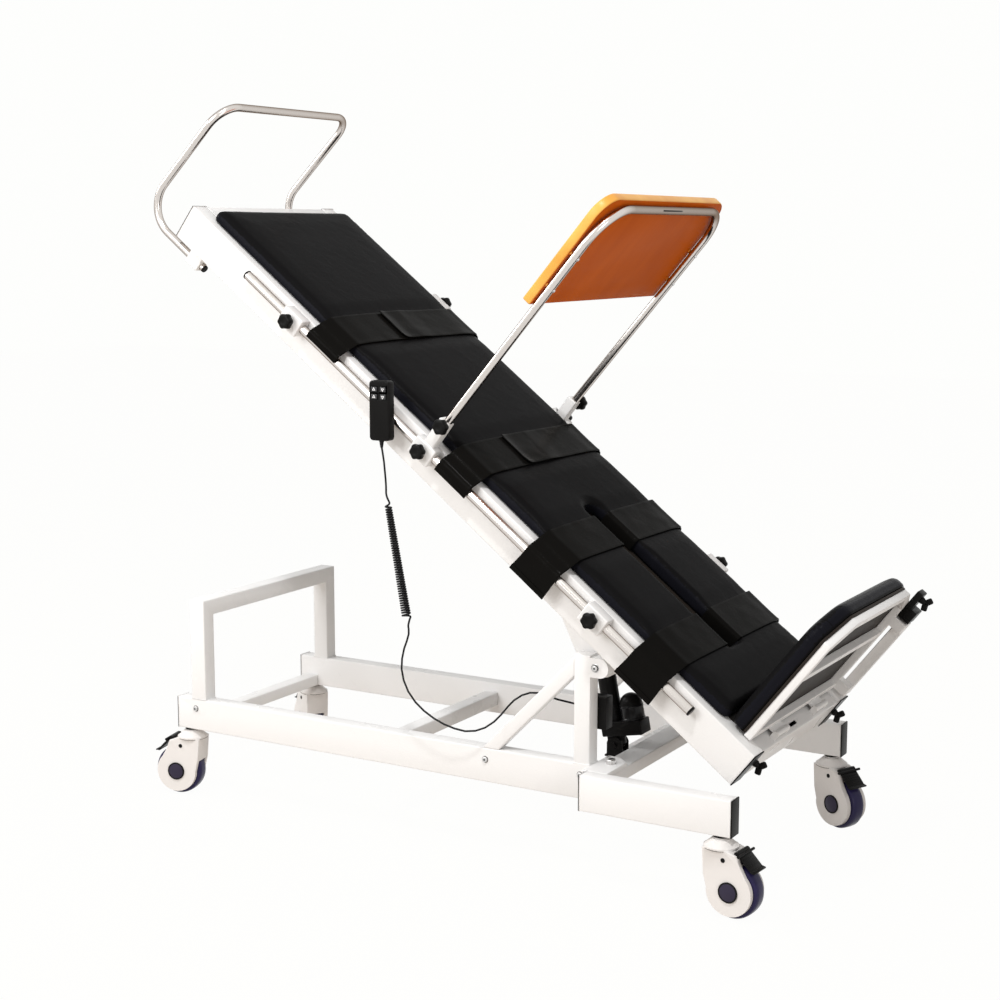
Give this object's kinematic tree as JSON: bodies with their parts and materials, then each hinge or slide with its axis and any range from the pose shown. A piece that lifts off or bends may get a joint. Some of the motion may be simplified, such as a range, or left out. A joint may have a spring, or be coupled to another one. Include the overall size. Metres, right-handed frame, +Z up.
{
  "type": "physiotherapy tilt table",
  "caption": "Castored steel base with a padded table tilting on stub pivots near its foot end, body straps, a tray on a tube frame, a head handle, a folding footplate and a corded handset.",
  "frame": {"origin": "on the floor under the middle of the part's box, measured without the handset's cord", "axes": "+X from the head end to the foot end, +Y from the handset's side to the far side, +Z up"},
  "size_m": [1.858, 0.756, 1.7419],
  "materials": {
    "white_frame": "satin powder coat",
    "dark_board": "matte",
    "black_plastic": "satin",
    "steel_fasteners": "plated",
    "polished_steel": "polished",
    "caster_housing": "satin",
    "caster_tread": "satin",
    "black_vinyl": "semi-gloss",
    "strap_vinyl": "satin",
    "wood_laminate": "varnished",
    "button_grey": "satin",
    "cord_jacket": "satin"
  },
  "bodies": {
    "base": {"main_rails": "white_frame", "cross_members": "white_frame", "front_legs": "white_frame", "pivot_posts": "white_frame", "diagonal_braces": "white_frame", "head_arch": "white_frame", "rail_end_caps": "black_plastic", "frame_bolts": "steel_fasteners", "actuator_bracket": "black_plastic", "control_box": "black_plastic"},
    "table": {"side_members": "white_frame", "table_cross_members": "white_frame", "deck_panel": "dark_board", "frame_end_caps": "black_plastic", "pivot_hangers": "white_frame", "side_rails": "polished_steel", "rail_blocks": "white_frame", "mattress": "black_vinyl", "body_straps": "strap_vinyl", "leg_straps": "strap_vinyl", "handle_sockets": "white_frame", "handset_shell": "black_plastic", "handset_cord": "cord_jacket", "handset_coil": "cord_jacket"},
    "tray": {"tray_frame": "polished_steel", "tray_board": "wood_laminate"},
    "handle": {"head_handle": "polished_steel"},
    "footplate": {"footplate_frame": "white_frame", "foot_board": "dark_board", "foot_pad": "black_vinyl", "stay_clamp": "black_plastic"},
    "actuator_body": {"actuator_body": "black_plastic"},
    "actuator_rod": {"actuator_rod": "steel_fasteners"},
    "caster_near_head": {"caster_fork_near_head": "caster_housing"},
    "wheel_near_head": {"caster_wheel_near_head": "caster_tread"},
    "pedal_near_head": {"caster_pedal_near_head": "black_plastic"},
    "caster_far_head": {"caster_fork_far_head": "caster_housing"},
    "wheel_far_head": {"caster_wheel_far_head": "caster_tread"},
    "pedal_far_head": {"caster_pedal_far_head": "black_plastic"},
    "caster_near_foot": {"caster_fork_near_foot": "caster_housing"},
    "wheel_near_foot": {"caster_wheel_near_foot": "caster_tread"},
    "pedal_near_foot": {"caster_pedal_near_foot": "black_plastic"},
    "caster_far_foot": {"caster_fork_far_foot": "caster_housing"},
    "wheel_far_foot": {"caster_wheel_far_foot": "caster_tread"},
    "pedal_far_foot": {"caster_pedal_far_foot": "black_plastic"},
    "star_knob_near_head": {"star_knob_near_head": "black_plastic"},
    "star_knob_far_head": {"star_knob_far_head": "black_plastic"},
    "star_knob_near_tray": {"star_knob_near_tray": "black_plastic"},
    "star_knob_far_tray": {"star_knob_far_tray": "black_plastic"},
    "star_knob_near_foot": {"star_knob_near_foot": "black_plastic"},
    "star_knob_far_foot": {"star_knob_far_foot": "black_plastic"},
    "tray_knob_near": {"tray_knob_near": "black_plastic"},
    "tray_knob_far": {"tray_knob_far": "black_plastic"},
    "wing_screw_near": {"wing_screw_near": "black_plastic"},
    "wing_screw_far": {"wing_screw_far": "black_plastic"},
    "wing_screw_stay": {"wing_screw_stay": "black_plastic"},
    "handset_button_1": {"handset_button_1": "button_grey"},
    "handset_button_2": {"handset_button_2": "button_grey"},
    "handset_button_3": {"handset_button_3": "button_grey"},
    "handset_button_4": {"handset_button_4": "button_grey"}
  },
  "joints": [
    {"name": "table_tilt", "type": "hinge", "parent": "base", "child": "table", "pos_m": [0.34184, -0.0013, 0.4801], "axis": [0, 1, 0], "range_deg": [-37.89, 36], "deforming": ["handset_coil", "handset_cord"]},
    {"name": "actuator_swing", "type": "hinge", "parent": "base", "child": "actuator_body", "pos_m": [0.28894, -0.0613, 0.245], "axis": [0, 1, 0], "range_deg": [-25, 25]},
    {"name": "rod_swing", "type": "hinge", "parent": "table", "child": "actuator_rod", "pos_m": [0.21436, -0.0613, 0.63379], "axis": [0, 1, 0], "range_deg": [-30, 30]},
    {"name": "caster_swivel_near_head", "type": "hinge", "parent": "base", "child": "caster_near_head", "pos_m": [-0.83106, -0.2636, 0.1752], "axis": [0, 0, 1], "continuous": true},
    {"name": "wheel_spin_near_head", "type": "hinge", "parent": "caster_near_head", "child": "wheel_near_head", "pos_m": [-0.86405, -0.27182, 0.0625], "axis": [0.2419, -0.9703, 0], "continuous": true},
    {"name": "pedal_press_near_head", "type": "hinge", "parent": "caster_near_head", "child": "pedal_near_head", "pos_m": [-0.87763, -0.27521, 0.135], "axis": [0.2419, -0.9703, 0], "range_deg": [0, 7]},
    {"name": "caster_swivel_far_head", "type": "hinge", "parent": "base", "child": "caster_far_head", "pos_m": [-0.83106, 0.261, 0.1752], "axis": [0, 0, 1], "continuous": true},
    {"name": "wheel_spin_far_head", "type": "hinge", "parent": "caster_far_head", "child": "wheel_far_head", "pos_m": [-0.85925, 0.28001, 0.0625], "axis": [-0.5592, -0.829, 0], "continuous": true},
    {"name": "pedal_press_far_head", "type": "hinge", "parent": "caster_far_head", "child": "pedal_far_head", "pos_m": [-0.87085, 0.28784, 0.135], "axis": [-0.5592, -0.829, 0], "range_deg": [0, 7]},
    {"name": "caster_swivel_near_foot", "type": "hinge", "parent": "base", "child": "caster_near_foot", "pos_m": [0.67334, -0.3394, 0.1752], "axis": [0, 0, 1], "continuous": true},
    {"name": "wheel_spin_near_foot", "type": "hinge", "parent": "caster_near_foot", "child": "wheel_near_foot", "pos_m": [0.70721, -0.34236, 0.0625], "axis": [0.0872, 0.9962, 0], "continuous": true},
    {"name": "pedal_press_near_foot", "type": "hinge", "parent": "caster_near_foot", "child": "pedal_near_foot", "pos_m": [0.72116, -0.34358, 0.135], "axis": [0.0872, 0.9962, 0], "range_deg": [0, 7]},
    {"name": "caster_swivel_far_foot", "type": "hinge", "parent": "base", "child": "caster_far_foot", "pos_m": [0.67334, 0.3368, 0.1752], "axis": [0, 0, 1], "continuous": true},
    {"name": "wheel_spin_far_foot", "type": "hinge", "parent": "caster_far_foot", "child": "wheel_far_foot", "pos_m": [0.70415, 0.32243, 0.0625], "axis": [0.4226, 0.9063, 0], "continuous": true},
    {"name": "pedal_press_far_foot", "type": "hinge", "parent": "caster_far_foot", "child": "pedal_far_foot", "pos_m": [0.71684, 0.31651, 0.135], "axis": [0.4226, 0.9063, 0], "range_deg": [0, 7]},
    {"name": "star_knob_turn_near_head", "type": "hinge", "parent": "table", "child": "star_knob_near_head", "pos_m": [-0.451, -0.3245, 1.22633], "axis": [0, -1, 0], "continuous": true},
    {"name": "star_knob_turn_far_head", "type": "hinge", "parent": "table", "child": "star_knob_far_head", "pos_m": [-0.43687, 0.3219, 1.24449], "axis": [0, 1, 0], "continuous": true},
    {"name": "star_knob_turn_near_tray", "type": "hinge", "parent": "table", "child": "star_knob_near_tray", "pos_m": [-0.08482, -0.3245, 0.94137], "axis": [0, -1, 0], "continuous": true},
    {"name": "star_knob_turn_far_tray", "type": "hinge", "parent": "table", "child": "star_knob_far_tray", "pos_m": [-0.07069, 0.3219, 0.95952], "axis": [0, 1, 0], "continuous": true},
    {"name": "star_knob_turn_near_foot", "type": "hinge", "parent": "table", "child": "star_knob_near_foot", "pos_m": [0.35476, -0.3245, 0.59929], "axis": [0, -1, 0], "continuous": true},
    {"name": "star_knob_turn_far_foot", "type": "hinge", "parent": "table", "child": "star_knob_far_foot", "pos_m": [0.36889, 0.3219, 0.61744], "axis": [0, 1, 0], "continuous": true},
    {"name": "tray_knob_turn_near", "type": "hinge", "parent": "table", "child": "tray_knob_near", "pos_m": [-0.02516, -0.3208, 1.00012], "axis": [0, -1, 0], "continuous": true},
    {"name": "tray_knob_turn_far", "type": "hinge", "parent": "table", "child": "tray_knob_far", "pos_m": [-0.02516, 0.3182, 1.00012], "axis": [0, 1, 0], "continuous": true},
    {"name": "tray_slide", "type": "slide", "parent": "table", "child": "tray", "axis": [0.6546, 0, 0.756], "range_m": [0, 0.06]},
    {"name": "handle_slide", "type": "slide", "parent": "table", "child": "handle", "axis": [-0.7892, 0, 0.6141], "range_m": [0, 0.04]},
    {"name": "footplate_fold", "type": "hinge", "parent": "table", "child": "footplate", "pos_m": [0.71763, -0.0013, 0.35239], "axis": [0, 1, 0], "range_deg": [0, 8]},
    {"name": "wing_screw_turn_near", "type": "hinge", "parent": "table", "child": "wing_screw_near", "pos_m": [0.69797, -0.2233, 0.30434], "axis": [0.7892, 0, -0.6141], "continuous": true},
    {"name": "wing_screw_turn_far", "type": "hinge", "parent": "table", "child": "wing_screw_far", "pos_m": [0.70034, 0.2627, 0.30249], "axis": [0.7892, 0, -0.6141], "continuous": true},
    {"name": "wing_screw_turn_stay", "type": "hinge", "parent": "footplate", "child": "wing_screw_stay", "pos_m": [0.90442, 0.2557, 0.59731], "axis": [0.7892, 0, -0.6141], "continuous": true},
    {"name": "button_press_1", "type": "slide", "parent": "table", "child": "handset_button_1", "axis": [0, 1, 0], "range_m": [0, 0.0015], "stiffness_N_per_m": 300, "springref_m": -0.002},
    {"name": "button_press_2", "type": "slide", "parent": "table", "child": "handset_button_2", "axis": [0, 1, 0], "range_m": [0, 0.0015], "stiffness_N_per_m": 300, "springref_m": -0.002},
    {"name": "button_press_3", "type": "slide", "parent": "table", "child": "handset_button_3", "axis": [0, 1, 0], "range_m": [0, 0.0015], "stiffness_N_per_m": 300, "springref_m": -0.002},
    {"name": "button_press_4", "type": "slide", "parent": "table", "child": "handset_button_4", "axis": [0, 1, 0], "range_m": [0, 0.0015], "stiffness_N_per_m": 300, "springref_m": -0.002}
  ],
  "couplings": [
    {"joint": "actuator_swing", "follows": "table_tilt", "ratio": 0.44},
    {"joint": "rod_swing", "follows": "table_tilt", "ratio": -0.56}
  ]
}
